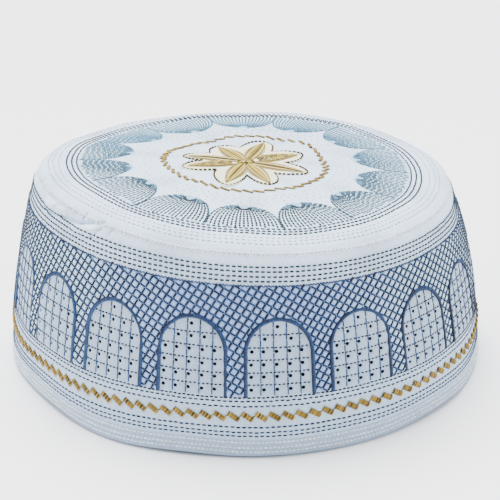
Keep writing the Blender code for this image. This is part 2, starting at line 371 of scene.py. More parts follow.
def trellis_counts(angle, run):
    """How many lines of each set lie between a place and the front, as fractions."""
    reach = TRELLIS_RADIUS / TRELLIS_TURN - (run - TRELLIS_RUN)
    across = reach * np.sin(TRELLIS_TURN * angle)
    up = TRELLIS_RADIUS / TRELLIS_TURN - reach * np.cos(TRELLIS_TURN * angle)
    return [
        (across * math.cos(lines.lean) + up * math.sin(lines.lean)) / lines.spacing + lines.start + pull
        for lines, pull in zip((RISING_LINES, FALLING_LINES), trellis_pull(angle, run))
    ]


def diamonds(angle, run):
    """How far inside its diamond of the trellis a place lies: 0 on the lines, 1 in the middle."""
    rising, falling = trellis_counts(angle, run)
    return np.abs(np.sin(math.pi * rising) * np.sin(math.pi * falling))


def trellis_place(rising, falling):
    """Angle and run where two lines of the pulled trellis cross, found in small steps."""
    angle, run = straight_place(rising, falling)
    for step in range(PULL_STEPS):
        pulls = trellis_pull(angle, run)
        angle, run = straight_place(rising - pulls[0], falling - pulls[1])
    return angle, run


def straight_place(rising, falling):
    """Angle and run where two lines of the trellis would cross if it weren't pulled."""
    first = (rising - RISING_LINES.start) * RISING_LINES.spacing
    second = (falling - FALLING_LINES.start) * FALLING_LINES.spacing
    between = math.sin(FALLING_LINES.lean - RISING_LINES.lean)
    across = (first * math.sin(FALLING_LINES.lean) - second * math.sin(RISING_LINES.lean)) / between
    up = (second * math.cos(RISING_LINES.lean) - first * math.cos(FALLING_LINES.lean)) / between
    apex = TRELLIS_RADIUS / TRELLIS_TURN
    reach = np.hypot(across, apex - up)
    angle = np.arctan2(across, apex - up) / TRELLIS_TURN
    return angle, TRELLIS_RUN + apex - reach


def in_trellis(angle, run, margin=0.0):
    """Whether a place is on the trellis cloth, at least a margin from its borders."""
    seam = np.abs(wrapped(angle - BACK_SEAM)) * radius_at(run)
    inside = (run > TRELLIS_LOW + margin) & (run < TRELLIS_TOP - margin)
    return inside & (outside_arch(angle, run) > margin) & (seam > margin)


def fan_places(angle, run):
    """Line number and turn of a place on the nearest fan. On a fan the line is from -9.5 to 9.5."""
    nearest = np.round(angle / (math.tau / FANS)) * math.tau / FANS
    out = FAN_BASE - radius_at(run)
    across = (angle - nearest) * (FAN_BASE - FAN_TAPER * out)
    turn = np.arcsin(np.clip(out / FAN_LENGTH, 0, 1))
    half = (FAN_LINES - 1) / 2
    line = across / np.maximum(FAN_HALF * np.cos(turn), 1e-6) * half
    on_fan = (out > 0) & (out < FAN_LENGTH) & (np.abs(line) < half + 0.5) & (run > SEAM_RUN)
    return line, turn, on_fan


def fan_line(fan, line, turn):
    """Angle and run along one line of one fan."""
    half = (FAN_LINES - 1) / 2
    out = FAN_LENGTH * np.sin(turn)
    across = FAN_HALF * line / half * np.cos(turn)
    angle = fan * math.tau / FANS + across / (FAN_BASE - FAN_TAPER * out)
    return angle, run_at_radius(FAN_BASE - out)


def near(distance, half_width):
    return np.exp(-(distance / half_width) ** 2)


# Creases where the cloth is gathered at the left of the shoulder, in degrees and mm: valleys are negative
Crease = namedtuple("Crease", "start_angle start_run end_angle end_run size half_width")
CREASES = (
    Crease(-67, 70.5, -57, 72.8, -0.8, 0.6),
    Crease(-57, 72.8, -48, 74.0, -1.1, 0.6),
    Crease(-48, 74.0, -40, 77.8, -1.1, 0.6),
    Crease(-66, 73.4, -52, 76.4, 1.1, 1.5),
    Crease(-50, 70.9, -42, 73.9, 0.9, 1.3),
    Crease(-61, 73.5, -58, 76.8, -0.8, 0.6),
    Crease(-54, 74.0, -52, 77.6, -0.8, 0.7),
    Crease(-47, 74.6, -47, 77.8, -0.8, 0.7),
    Crease(-43, 71.0, -40, 75.5, -0.9, 0.6),
    Crease(-37, 74.0, -36, 77.0, -0.5, 0.7),
    Crease(-80, 75.0, -73, 81.0, -0.8, 0.9),
    Crease(-84, 84.0, -76, 80.0, -0.8, 0.8),
)
# How much the cloth is painted darker in the crease valleys: a painted shade
CREASE_PAINTED_SHADE = 0.45

# Slow waves of the slack cloth: how fast each turns round the cap and up it
Slack = namedtuple("Slack", "size round up start")
SLACKS = (
    Slack(size=0.22 * MM, round=7, up=90, start=0),
    Slack(size=0.16 * MM, round=13, up=-140, start=1),
)


def creases(angle, run):
    """Folds of the gathered cloth, and the slack of the whole cap."""
    height = sum(wave.size * np.sin(wave.round * angle + wave.up * run + wave.start) for wave in SLACKS)
    turned = wrapped(angle)
    for crease in CREASES:
        start = np.array([math.radians(crease.start_angle) * FLAT_RADIUS, crease.start_run * MM])
        along = np.array([math.radians(crease.end_angle) * FLAT_RADIUS, crease.end_run * MM]) - start
        place = stacked(turned * FLAT_RADIUS, run) - start
        share = np.clip(place @ along / (along @ along), 0, 1)
        away = np.linalg.norm(place - share[..., None] * along, axis=-1)
        height = height + crease.size * MM * near(away, crease.half_width * MM)
    return height


def in_gathers(places):
    """Which (angle, run) places lie where the creases need finer cloth."""
    angle, run = np.degrees(places[:, 0]), places[:, 1]
    return (angle > -69) & (angle < -33) & (run > 69.5 * MM) & (run < 81.5 * MM)


def relief(angle, run):
    """How far the quilted cloth stands out from the plain outer face at a place."""
    height = creases(angle, run)
    for ring in RINGS:
        height = height - ROW_DEPTH * near(run - ring.run, ROW_HALF_WIDTH)
    puff = TRELLIS_PUFF * diamonds(angle, run) ** DIAMOND_ROUND
    height = height + np.where(in_trellis(angle, run), puff, 0)
    window = (run > TRELLIS_LOW) & (outside_arch(angle, run) < 0) & (run < TRELLIS_TOP)
    row_gap = np.min([np.abs(run - row) for row in GRID_ROWS], axis=0)
    offset = arch_offset(angle)
    column_gap = np.min([np.abs(offset - math.radians(c)) for c in GRID_COLUMNS], axis=0) * radius_at(run)
    cell = (1 - near(row_gap, GRID_GROOVE)) * (1 - near(column_gap, GRID_GROOVE))
    height = height + np.where(window, WINDOW_PUFF * cell, 0)
    line, turn, on_fan = fan_places(angle, run)
    return height + np.where(on_fan, FAN_PUFF * np.sin(math.pi * line) ** 2, 0)


# Colours, linear
WHITE_CLOTH = np.array([0.64, 0.78, 0.98])
# Painted shade: the lower band is painted darker towards the bottom, and at the hem also for its greyer
# weave
HEM_WEAVE_AND_PAINTED_SHADE = np.array([0.36, 0.47, 0.62])
FOOT_PAINTED_SHADE = np.array([0.50, 0.63, 0.80])
HEM_TOP = 7.3 * MM
TRELLIS_CLOTH = np.array([0.33, 0.48, 0.88])
# Painted shade along the trellis lines, of the threads and their grooves, with some of the threads' fuzz;
# how far past the trellis top it reaches, and how it rounds into each diamond
TRELLIS_LINE_FUZZ_AND_SHADE = np.array([0.17, 0.27, 0.50])
TRELLIS_TINT_AND_SHADE_PAST = 0.6 * MM
TRELLIS_SHADE_ROUND = 0.7
# Painted light: between these angles the trellis turns from bluer and darker at the front, a painted shade,
# to paler at the sides, where the side lights reach
LIT_SIDE_CLOTH = np.array([0.60, 0.78, 0.95])
LIT_SIDE_LINE_FUZZ_AND_SHADE = np.array([0.22, 0.36, 0.54])
LIT_SIDE_START = math.radians(16)
LIT_SIDE_END = math.radians(50)
WINDOW_CLOTH = np.array([0.38, 0.485, 0.63])
FAN_CLOTH = np.array([0.66, 0.83, 0.95])
# Painted shade along the fan lines, of the threads and their grooves, with some of the threads' fuzz
FAN_LINE_FUZZ_AND_SHADE = np.array([0.30, 0.52, 0.70])
# Painted shadow on the walls inside each eyelet
EYELET_WALL_PAINTED_SHADOW = np.array([0.015, 0.022, 0.040])


def cloth_colour(angle, run):
    """Colour of the cloth at a place: bluish under the trellis and the fans, and darker along their lines
    as painted shade of the threads and their grooves, with some of the threads' fuzz. Painted shade also
    darkens the lower band, the crease valleys and the front of the trellis, whose sides are painted paler
    as painted light.
    """
    colour = np.tile(WHITE_CLOTH, (len(angle), 1))
    # Painted shade on the lower band, with the hem's greyer weave
    colour[run < TRELLIS_LOW] = FOOT_PAINTED_SHADE
    colour[run < HEM_TOP] = HEM_WEAVE_AND_PAINTED_SHADE
    # Painted shade along the trellis lines, with some fuzz, turning to the cell colour in the middle of
    # each diamond
    band = (run > TRELLIS_LOW) & (run < TRELLIS_TOP + TRELLIS_TINT_AND_SHADE_PAST)
    middle = diamonds(angle, run)[:, None] ** TRELLIS_SHADE_ROUND
    trellis = band & (outside_arch(angle, run) >= 0)
    # Painted light and shade: the trellis is paler at the sides and darker at the front
    from_front = np.abs(wrapped(angle))
    side = np.clip((from_front - LIT_SIDE_START) / (LIT_SIDE_END - LIT_SIDE_START), 0, 1)[:, None]
    cell = TRELLIS_CLOTH + (LIT_SIDE_CLOTH - TRELLIS_CLOTH) * side
    edge = TRELLIS_LINE_FUZZ_AND_SHADE + (LIT_SIDE_LINE_FUZZ_AND_SHADE - TRELLIS_LINE_FUZZ_AND_SHADE) * side
    colour[trellis] = (edge + (cell - edge) * middle)[trellis]
    colour[band & (outside_arch(angle, run) < 0)] = WINDOW_CLOTH
    line, turn, on_fan = fan_places(angle, run)
    # Painted shade in the crease valleys above the trellis
    shaded_folds = np.clip(-creases(angle, run)[:, None] / MM, 0, 1)
    colour = colour * (1 - CREASE_PAINTED_SHADE * shaded_folds * (run > TRELLIS_TOP)[:, None])
    # Painted shade along the fan lines, paler between them
    between = np.sin(math.pi * line)[:, None] ** 2
    colour[on_fan] = (FAN_LINE_FUZZ_AND_SHADE + (FAN_CLOTH - FAN_LINE_FUZZ_AND_SHADE) * between)[on_fan]
    return colour


def unit(vectors):
    return vectors / np.linalg.norm(vectors, axis=-1, keepdims=True)


Shape = namedtuple("Shape", "points faces shades")


def joined(shapes):
    """Several shapes as one."""
    starts = np.cumsum([0] + [len(shape.points) for shape in shapes[:-1]])
    return Shape(
        np.concatenate([shape.points for shape in shapes]),
        np.concatenate([shape.faces + start for shape, start in zip(shapes, starts)]),
        np.concatenate([shape.shades for shape in shapes]),
    )


def tube_faces(rings, sides):
    """Triangles of a tube with pointed ends: the first point, the rings, the last point."""
    faces = []
    last = 1 + rings * sides
    for side in range(sides):
        after = (side + 1) % sides
        faces.append((0, 1 + after, 1 + side))
        for ring in range(rings - 1):
            low = 1 + ring * sides
            high = low + sides
            faces.append((low + side, low + after, high + after))
            faces.append((low + side, high + after, high + side))
        end = last - sides
        faces.append((end + side, end + after, last))
    return np.array(faces)


LIFT_PROBE = 0.1 * MM


def tubes(places, half_width, half_height, sizes, sides=5, shades=None):
    """Tubes through rows of places (angle, run, lift), pointed at their first and last place."""
    rows, stations = places.shape[:2]
    angle, run, lift = np.moveaxis(places, -1, 0)
    middle = cap_surface(angle, run, lift)
    out = unit(cap_surface(angle, run, lift + LIFT_PROBE) - middle)
    along = unit(np.gradient(middle, axis=1))
    across = unit(np.cross(out, along))
    up = np.cross(along, across)
    turns = np.arange(sides) * math.tau / sides
    size = np.asarray(sizes)[1:-1, None]
    wide = (half_width * size * np.cos(turns))[None, :, :, None]
    high = (half_height * size * np.sin(turns))[None, :, :, None]
    rings = middle[:, 1:-1, None] + across[:, 1:-1, None] * wide + up[:, 1:-1, None] * high
    points = np.concatenate([middle[:, :1], rings.reshape(rows, -1, 3), middle[:, -1:]], axis=1)
    template = tube_faces(stations - 2, sides)
    starts = np.arange(rows)[:, None, None] * points.shape[1]
    if shades is None:
        shades = rng.random(rows)
    shades = np.repeat(shades, points.shape[1])
    return Shape(points.reshape(-1, 3), (template + starts).reshape(-1, 3), shades)


STITCH_MARKS = np.array([0.0, 0.18, 0.82, 1.0])
STITCH_SIZES = (0, 1, 1, 0)
STITCH_SINK = 0.16 * MM
STITCH_RISE = 0.14 * MM
WANDER = 0.05 * MM


def stitch_line(angle, run, pitch, share):
    """Cuts a line of places into even stitches: their marks as (stitches, marks, 2)."""
    radius = (radius_at(run[1:]) + radius_at(run[:-1])) / 2
    length = np.concatenate([[0], np.cumsum(np.hypot(np.diff(angle) * radius, np.diff(run)))])
    count = max(round(length[-1] / pitch), 1)
    step = length[-1] / count
    marks = (np.arange(count)[:, None] + share * STITCH_MARKS) * step
    return stacked(np.interp(marks, length, angle), np.interp(marks, length, run))


def sewn(marks, thickness, rise=STITCH_RISE, flatness=1.0, shades=None):
    """Stitches over the quilted cloth, which dive into it at both ends."""
    marks = marks + rng.normal(0, WANDER, (len(marks), 1, 2)) / np.array([WRAP_RADIUS, 1])
    angle, run = marks[..., 0], marks[..., 1]
    ends = np.array([-STITCH_SINK, rise, rise, -STITCH_SINK])
    places = stacked(angle, run, relief(angle, run) + ends)
    return tubes(places, thickness / 2, thickness / 2 * flatness, STITCH_SIZES, shades=shades)


def ring_stitches(ring):
    radius = radius_at(ring.run)
    count = round(math.tau * radius / ring.pitch)
    step = math.tau / count
    angle = (np.arange(count)[:, None] + ring.share * STITCH_MARKS + rng.random()) * step
    return sewn(stacked(angle, np.full_like(angle, ring.run)), ring.thickness)


def line_stitches(lines, pitch, share, thickness):
    """Running stitches along several lines of places."""
    marks = np.concatenate([stitch_line(angle, run, pitch, share) for angle, run in lines])
    return sewn(marks, thickness)


def new_object(name, data):
    obj = bpy.data.objects.new(name, data)
    bpy.context.scene.collection.objects.link(obj)
    return obj


def mesh_piece(name, shape, paint, colours=None, flat_places=None):
    """A mesh object that rides with the cap, with a shade or a colour at each point."""
    mesh = bpy.data.meshes.new(name)
    mesh.vertices.add(len(shape.points))
    mesh.vertices.foreach_set("co", shape.points.astype(np.float32).ravel())
    mesh.loops.add(shape.faces.size)
    mesh.loops.foreach_set("vertex_index", shape.faces.astype(np.int32).ravel())
    mesh.polygons.add(len(shape.faces))
    mesh.polygons.foreach_set("loop_start", np.arange(0, shape.faces.size, 3, dtype=np.int32))
    mesh.update(calc_edges=True)
    if mesh.validate():
        raise ValueError(f"{name} had broken faces")
    mesh.shade_smooth()
    mesh.materials.append(paints[paint])
    shade = mesh.attributes.new("shade", "FLOAT", "POINT")
    shade.data.foreach_set("value", shape.shades.astype(np.float32))
    if colours is not None:
        dye_and_painted_shade = mesh.color_attributes.new("dye_and_painted_shade", "FLOAT_COLOR", "POINT")
        filled = np.concatenate([colours, np.ones((len(colours), 1))], axis=1)
        dye_and_painted_shade.data.foreach_set("color", filled.astype(np.float32).ravel())
    if flat_places is not None:
        weave = mesh.uv_layers.new(name="weave")
        weave.data.foreach_set("uv", flat_places[shape.faces.ravel()].astype(np.float32).ravel())
    obj = new_object(name, mesh)
    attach(obj, "root")
    return obj


# Cloth shells

EDGE_POINTS = 560
LINING_STEP = 4.0 * MM
FINE_STEP = 0.76 * MM
PLAIN_STRETCH = 1.4
ROLL_STRETCH = 1.5
GATHER_ACROSS = 0.55 * MM
GATHER_UP = 0.45 * MM
TRELLIS_PARTS = 4
RIM_POINTS = 8
EYELET_CLEAR = 0.42 * MM
EYELET_WALLS = (0.25 * MM, CLOTH - 0.15 * MM)
EDGE_ROWS = 6
BORDER = 0.35 * MM
FLAT_SCALE = 1000.0
WEAVE_RADIUS = 20.0 * MM
SEAM_ROUND = 0.22 * MM
FAN_STEPS = 26
INNER_RADIUS = 8.0 * MM
FAN_ZONE = FAN_BASE - FAN_LENGTH
FLOWER_ZONE = 26.0 * MM


def triangles_between(flat):
    """Delaunay triangles between flat points, in the points' own numbering."""
    made = geometry.delaunay_2d_cdt([Vector(point) for point in flat * FLAT_SCALE], [], [], 0, 1e-6)
    numbers = np.array([ids[0] for ids in made[3]])
    return numbers[np.array(made[2])]


def grid(low_run, high_run, step_angle, step_run):
    """Staggered grid of places between two runs, once round the cap."""
    left, right = STRIP
    columns = max(round((right - left) / step_angle), 1)
    rows = max(round((high_run - low_run) / step_run), 1)
    x, y = np.meshgrid((np.arange(columns) + 0.25) / columns, (np.arange(rows) + 0.5) / rows)
    x[1::2] += 0.5 / columns
    angle = left + x.ravel() * (right - left)
    return stacked(angle, low_run + y.ravel() * (high_run - low_run))


def gathers_grid(low_run, high_run):
    """Finer places where the creases are."""
    places = grid(low_run, high_run, GATHER_ACROSS / FLAT_RADIUS, GATHER_UP)
    return places[in_gathers(places)]


def clear_of_edges(places, low_run, high_run):
    """Places that lie clear of the ends of a strip."""
    left, right = STRIP
    clear = (np.abs(places[:, 1] - low_run) > BORDER) & (np.abs(places[:, 1] - high_run) > BORDER)
    sides = np.minimum(places[:, 0] - left, right - places[:, 0]) * FLAT_RADIUS > BORDER
    return places[clear & sides]


def eyelets():
    """Angle and run of the middle of every eyelet."""
    found = []
    for arch in range(-ARCHES // 2, ARCHES // 2):
        middle = ARCH_FIRST + arch * ARCH_PITCH
        for row in EYELET_ROWS:
            kept = row.offsets[::2] if row == PAIR_ROW and arch in PAIR_ARCHES else row.offsets
            found += [(middle + math.radians(offset), row.run) for offset in kept]
    return np.array(found)


def shell_edge(run, lean, depth):
    """Rows of (run, lift) round the edge of a shell, from its outer face to its lining."""
    turns = np.linspace(0, math.pi, EDGE_ROWS + 1)
    return [(run + lean * (1 - math.sin(turn)), depth * (math.cos(turn) - 1)) for turn in turns]


def cloth_face(inner_places, rim_places, low_run, high_run, side_step):
    """Places and triangles of one face of a shell, over a strip once round the cap.

    The rims come first, then the low and high edge rows, then the rest. Places on the left side of
    the strip are welded to those on the right.
    """
    left, right = STRIP
    edge_angle = left + np.arange(EDGE_POINTS) * math.tau / EDGE_POINTS
    low = stacked(edge_angle, np.full(EDGE_POINTS, low_run))
    high = stacked(edge_angle, np.full(EDGE_POINTS, high_run))
    side_rows = max(round((high_run - low_run) / side_step), 2)
    side_runs = np.linspace(low_run, high_run, side_rows + 1)[1:-1]
    left_side = stacked(np.full(len(side_runs), left), side_runs)
    corners = np.array([(right, low_run), (right, high_run)])
    right_side = left_side + np.array([math.tau, 0])
    places = np.concatenate([rim_places, low, high, left_side, inner_places, corners, right_side])
    faces = triangles_between(places * FLAT)
    rim = np.full(len(places), -1)
    rim[:len(rim_places)] = np.arange(len(rim_places)) // RIM_POINTS
    owner = rim[faces]
    in_hole = (owner[:, 0] >= 0) & (owner[:, 0] == owner[:, 1]) & (owner[:, 1] == owner[:, 2])
    faces = faces[~in_hole]
    kept = len(places) - 2 - len(side_runs)
    weld = np.arange(len(places))
    weld[kept] = len(rim_places)
    weld[kept + 1] = len(rim_places) + EDGE_POINTS
    weld[kept + 2:] = len(rim_places) + 2 * EDGE_POINTS + np.arange(len(side_runs))
    return places[:kept], weld[faces]


def strip_faces(first, second):
    """Triangles between two equally long closed rows. They face out when second lies before first."""
    after_first = np.roll(first, -1)
    after_second = np.roll(second, -1)
    return np.concatenate([
        stacked(first, second, after_second),
        stacked(first, after_second, after_first),
    ])


def edge_rows(rows, edge_angle):
    """Places (angle, run, lift) of the rows between the two faces along one edge."""
    return np.array([[(angle, run, lift) for angle in edge_angle] for run, lift in rows[1:-1]])


def away_from(places, middles, distance):
    """Places further than a distance from every middle."""
    keep = np.ones(len(places), bool)
    for middle in middles:
        keep &= np.linalg.norm((places - middle) * FLAT, axis=-1) > distance
    return places[keep]


def cloth_shell(name, fine_places, rim_places, low_rows, high_rows=None, middle_run=None):
    """Closed shell of quilted cloth. It ends in rounded edges, or closes at the middle of the top."""
    low_run = low_rows[0][0]
    high_run = high_rows[0][0] if high_rows else middle_run
    outer, outer_faces = cloth_face(fine_places, rim_places, low_run, high_run, FINE_STEP)
    coarse = grid(low_run, high_run, LINING_STEP / FLAT_RADIUS, LINING_STEP)
    coarse = coarse[np.abs(coarse[:, 1] - low_run) > LINING_STEP / 3]
    if len(rim_places):
        middles = rim_places.reshape(-1, RIM_POINTS, 2).mean(axis=1)
        coarse = away_from(coarse, middles, EYELET_RADIUS + 2 * EYELET_CLEAR)
    lining, lining_faces = cloth_face(coarse, rim_places, low_run, high_run, LINING_STEP)
    shift = len(outer)
    rims = len(rim_places)
    places = [np.column_stack([outer, relief(outer[:, 0], outer[:, 1])])]
    places.append(np.column_stack([lining, np.full(len(lining), -CLOTH)]))
    faces = [outer_faces, lining_faces[:, ::-1] + shift]
    count = len(outer) + len(lining)
    wall_starts = [0]
    for depth in EYELET_WALLS if rims else ():
        wall_starts.append(count)
        places.append(np.column_stack([rim_places, np.full(rims, -depth)]))
        count += rims
    for rim in np.arange(rims).reshape(-1, RIM_POINTS):
        for first, second in zip(wall_starts, wall_starts[1:] + [shift]):
            faces.append(strip_faces(rim + first, rim + second)[:, ::-1])
    shadowed_walls = slice(shift + len(lining), count)
    edge_angle = outer[rims:rims + EDGE_POINTS, 0]
    for rows, start, flip in ((low_rows, rims, False), (high_rows, rims + EDGE_POINTS, True)):
        if not rows:
            continue
        between = edge_rows(rows, edge_angle)
        lines = [np.arange(EDGE_POINTS) + start]
        for row in between:
            lines.append(np.arange(EDGE_POINTS) + count)
            places.append(row)
            count += EDGE_POINTS
        lines.append(np.arange(EDGE_POINTS) + start + shift)
        for first, second in zip(lines, lines[1:]):
            strip = strip_faces(first, second)
            faces.append(strip[:, ::-1] if flip else strip)
    if not high_rows:
        for shell, lift in ((0, 0), (shift, -CLOTH)):
            ring = np.arange(EDGE_POINTS) + shell + rims + EDGE_POINTS
            tip = np.full(EDGE_POINTS, count)
            places.append(np.array([[0.0, MIDDLE_RUN, lift]]))
            count += 1
            cap = stacked(ring, np.roll(ring, -1), tip)
            faces.append(cap[:, ::-1] if shell else cap)
    places = np.concatenate(places)
    faces = np.concatenate(faces)
    points = cap_surface(places[:, 0], places[:, 1], places[:, 2])
    shape = Shape(points, faces, np.zeros(len(points)))
    colours = cloth_colour(places[:, 0], places[:, 1])
    colours[places[:, 2] < -CLOTH / 4] = WHITE_CLOTH
    # Painted shadow inside the eyelets
    colours[shadowed_walls] = EYELET_WALL_PAINTED_SHADOW
    across = places[:, 0] * np.maximum(radius_at(places[:, 1]), WEAVE_RADIUS)
    flat = stacked(across, places[:, 1])
    return mesh_piece(name, shape, "cotton", colours=colours, flat_places=flat)


def trellis_reach():
    """Lowest and highest number of each set of lines on the trellis."""
    angles, runs = np.meshgrid(np.linspace(*STRIP, 200), np.linspace(TRELLIS_LOW, TRELLIS_TOP, 20))
    return [(math.floor(count.min()), math.ceil(count.max())) for count in trellis_counts(angles, runs)]


def band_places(low_run, high_run, holes):
    """Fine places for the side band: with the trellis, in the windows, and above and below them."""
    parts = [
        np.arange(low * TRELLIS_PARTS, high * TRELLIS_PARTS) / TRELLIS_PARTS
        for low, high in trellis_reach()
    ]
    angle, run = trellis_place(*[count.ravel() for count in np.meshgrid(*parts)])
    inside = (angle > STRIP[0]) & (angle < STRIP[1]) & in_trellis(angle, run, BORDER)
    trellis = stacked(angle, run)[inside]
    step = FINE_STEP / FLAT_RADIUS
    windows = grid(TRELLIS_LOW, TRELLIS_TOP, step, FINE_STEP)
    windows = windows[outside_arch(windows[:, 0], windows[:, 1]) < -BORDER]
    windows = away_from(windows, holes, EYELET_RADIUS + EYELET_CLEAR)
    below = grid(low_run, TRELLIS_LOW - BORDER, PLAIN_STRETCH * step, FINE_STEP)
    above = grid(TRELLIS_TOP + BORDER, high_run, PLAIN_STRETCH * step, FINE_STEP)
    gathers = gathers_grid(low_run, high_run)
    sets = np.concatenate([trellis, windows, below, above[~in_gathers(above)], gathers])
    return clear_of_edges(sets, low_run, high_run)


def side_band_cloth():
    holes = eyelets()
    turns = np.arange(RIM_POINTS) * math.tau / RIM_POINTS
    rim = stacked(np.cos(turns) / FLAT_RADIUS, np.sin(turns)) * EYELET_RADIUS
    rims = (holes[:, None] + rim[None]).reshape(-1, 2)
    low = shell_edge(0.0, CLOTH / 2, CLOTH / 2)
    seam = shell_edge(SEAM_RUN, SEAM_ROUND, CLOTH / 2)
    high = [(SEAM_RUN - (run - SEAM_RUN), lift) for run, lift in seam]
    fine = band_places(low[0][0], high[0][0], holes)
    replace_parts(cloth_shell("side_band_cloth", fine, rims, low, high), "side_band")


def crown_places(low_run, high_run):
    """Fine places for the crown: along and between the lines of the fans, and an even spread elsewhere."""
    edge = run_at_radius(FAN_BASE) - BORDER
    roll = grid(low_run, edge, FINE_STEP * ROLL_STRETCH / FLAT_RADIUS, FINE_STEP)
    found = [roll[~in_gathers(roll)], gathers_grid(low_run, edge)]
    turns = np.linspace(0.02, 1.0, FAN_STEPS) * FAN_END
    half = (FAN_LINES - 1) / 2
    for fan in range(-FANS // 2, FANS // 2 + 1):
        for line in np.arange(-half, half + 0.1, 0.5):
            steps = FAN_STEPS if line == round(line) else FAN_STEPS * 2 // 3
            found.append(np.stack(fan_line(fan, line, turns[:steps]), axis=-1))
    for low, high, step in (
        (FAN_ZONE, FAN_BASE, 1.0 * MM),
        (FLOWER_ZONE, FAN_ZONE, 1.2 * MM),
        (INNER_RADIUS, FLOWER_ZONE, 1.6 * MM),
    ):
        zone = grid(run_at_radius(high), run_at_radius(low), step / ((low + high) / 2), step)
        line, turn, on_fan = fan_places(zone[:, 0], zone[:, 1])
        found.append(zone[~on_fan | (turn > FAN_END)])
    return clear_of_edges(np.concatenate(found), low_run, high_run)


def crown_cloth():
    low = shell_edge(SEAM_RUN, SEAM_ROUND, CLOTH / 2)
    high_run = run_at_radius(INNER_RADIUS)
    fine = crown_places(low[0][0], high_run)
    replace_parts(cloth_shell("crown_cloth", fine, np.zeros((0, 2)), low, middle_run=high_run), "crown")


# Stitches

def stitch_rings():
    made = [(ring.thread, ring_stitches(ring)) for ring in RINGS]
    for name, thread in RING_PIECES.items():
        mesh_piece(name, joined([shape for used, shape in made if used == thread]), thread)


def trellis_stitches():
    """One stitch along each side of each diamond, just short of its corners."""
    steps = [np.arange(low, high + 1) for low, high in trellis_reach()]
    first, second = [count.ravel() for count in np.meshgrid(*steps)]
    shares = 0.01 + 0.98 * STITCH_MARKS
    for name, reach, thread, thickness in (
        ("trellis_rising", (0, 1), "navy", 0.88 * MM),
        ("trellis_falling", (1, 0), "indigo", 0.62 * MM),
    ):
        angle, run = trellis_place(first[:, None] + reach[0] * shares, second[:, None] + reach[1] * shares)
        middle, height = angle.mean(axis=1), run.mean(axis=1)
        keep = (middle > STRIP[0]) & (middle < STRIP[1]) & in_trellis(middle, height, 0.3 * MM)
        marks = stacked(angle[keep], run[keep])
        mesh_piece(name, sewn(marks, thickness), thread)


def zigzag(run, pitch, swing, thickness):
    """Zigzag of stitches once round the cap."""
    count = round(math.tau * radius_at(run) / pitch)
    angle = np.arange(2 * count + 1) * math.tau / (2 * count)
    swings = swing * (-1) ** np.arange(2 * count + 1)
    marks = stacked(
        angle[:-1, None] + np.diff(angle)[:, None] * STITCH_MARKS,
        run + swings[:-1, None] + np.diff(swings)[:, None] * STITCH_MARKS,
    )
    return sewn(marks, thickness)


def zigzags():
    """Close zigzag along the top of the trellis, and a white one that joins the crown to the side band."""
    border = zigzag(TRELLIS_TOP, pitch=1.25 * MM, swing=0.38 * MM, thickness=0.44 * MM)
    mesh_piece("trellis_border", border, "indigo")
    seam = zigzag(SEAM_RUN, pitch=1.7 * MM, swing=1.1 * MM, thickness=0.38 * MM)
    mesh_piece("seam_zigzag", seam, "white")


def window_grid():
    """Dashed lines across and up each window, inside its arch."""
    across_lines, up_lines = [], []
    inset = SATIN_WIDTH / 2
    for arch in range(ARCHES):
        middle = ARCH_FIRST + arch * ARCH_PITCH
        for run in GRID_ROWS:
            above = max(np.interp(run, RUN, HEIGHT) - ARCH_SPRING, 0)
            half = math.sqrt((ARCH_HALF_WIDTH - inset) ** 2 - above ** 2) / WRAP_RADIUS
            across_lines.append((np.array([middle - half, middle + half]), np.array([run, run])))
        for offset in GRID_COLUMNS:
            across = abs(math.radians(offset)) * WRAP_RADIUS
            top = ARCH_SPRING + math.sqrt((ARCH_HALF_WIDTH - inset) ** 2 - across ** 2)
            ends = np.array([TRELLIS_LOW, run_at_height(top)])
            up_lines.append((np.full(2, middle + math.radians(offset)), ends))
    rows = line_stitches(across_lines, pitch=1.55 * MM, share=0.70, thickness=0.54 * MM)
    columns = line_stitches(up_lines, pitch=2.3 * MM, share=1.15, thickness=0.46 * MM)
    mesh_piece("window_rows", rows, "navy")
    mesh_piece("window_columns", columns, "blue")


def fan_stitches():
    """Running stitches along the lines of every fan. The outer lines turn sky blue where they bend over."""
    half = (FAN_LINES - 1) // 2
    low, high = [], []
    for fan in range(FANS):
        away = abs(math.remainder(fan * math.tau / FANS, math.tau))
        share = FAN_SHARE + (FAN_SIDE_SHARE - FAN_SHARE) * min(away / FAN_SIDE, 1)
        for line in range(-half, half + 1):
            end = NOTCH_ENDS.get(abs(line), FAN_END) * rng.uniform(*FAN_ENDS)
            angle, run = fan_line(fan, line, np.linspace(rng.uniform(*FAN_STARTS), end, 40))
            marks = stitch_line(angle, run, rng.uniform(*FAN_PITCHES) * MM, share)
            sky = SKY_OUTER_LINES if abs(line) > half // 2 else SKY_INNER_LINES
            near_tip = radius_at(marks[:, :, 1]).mean(axis=1) < FAN_BASE - FAN_LENGTH * sky
            low.append(marks[~near_tip])
            high.append(marks[near_tip])
    low = np.concatenate(low)
    from_front = np.abs(wrapped(low[:, 1, 0]))
    fade = np.clip(from_front / FAN_FADE, 0, FAN_FADE_MOST) ** FAN_FADE_POWER
    shades = rng.uniform(0.0, 0.1, len(low)) + fade
    stitches = sewn(low, thickness=0.90 * MM, flatness=0.4, shades=shades)
    mesh_piece("fan_stitches", stitches, "fan")
    tips = sewn(np.concatenate(high), thickness=0.56 * MM, flatness=0.5)
    mesh_piece("fan_tips", tips, "sky")


# Satin arches and gold

SATIN_THREAD = 0.38 * MM
SATIN_SIDES = 8
SATIN_LIFT = 0.30 * MM
ARCH_TUCK = 0.8 * MM
SATIN_HALF_HEIGHT = 0.50 * MM

